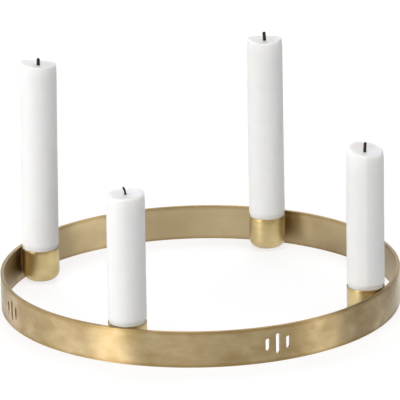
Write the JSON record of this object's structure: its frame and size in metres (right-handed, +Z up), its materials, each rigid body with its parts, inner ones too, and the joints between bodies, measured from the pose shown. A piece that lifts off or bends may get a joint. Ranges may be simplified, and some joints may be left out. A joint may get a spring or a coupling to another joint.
{
  "type": "advent candle holder",
  "caption": "Round brass band standing on edge with candle cups brazed inside it, each holding a burnt white taper that lifts out; slots in the band take a ribbon.",
  "frame": {"origin": "centre of the ring on the table, level with the band's lower edge", "axes": "+Z up along the ring's axis, +X to the right-hand cup, -Y to the front cup"},
  "size_m": [0.24, 0.24, 0.1412],
  "materials": {
    "brass_band": "brushed, lightly aged",
    "brass_cup": "satin, turned",
    "braze": "smooth filler",
    "wax": "smooth white wax",
    "wick": "charred cotton braid"
  },
  "bodies": {
    "holder": {"ring_band": "brass_band", "candle_cup_front": "brass_cup", "braze_fillet_front": "braze", "candle_cup_right": "brass_cup", "braze_fillet_right": "braze", "candle_cup_back": "brass_cup", "braze_fillet_back": "braze", "candle_cup_left": "brass_cup", "braze_fillet_left": "braze"},
    "candle_front": {"candle_front": "wax", "wick_front": "wick"},
    "candle_right": {"candle_right": "wax", "wick_right": "wick"},
    "candle_back": {"candle_back": "wax", "wick_back": "wick"},
    "candle_left": {"candle_left": "wax", "wick_left": "wick"}
  },
  "joints": [
    {"name": "candle_front_lift", "type": "slide", "parent": "holder", "child": "candle_front", "axis": [0, 0, 1], "range_m": [0, 0.05]},
    {"name": "candle_right_lift", "type": "slide", "parent": "holder", "child": "candle_right", "axis": [0, 0, 1], "range_m": [0, 0.05]},
    {"name": "candle_back_lift", "type": "slide", "parent": "holder", "child": "candle_back", "axis": [0, 0, 1], "range_m": [0, 0.05]},
    {"name": "candle_left_lift", "type": "slide", "parent": "holder", "child": "candle_left", "axis": [0, 0, 1], "range_m": [0, 0.05]}
  ]
}
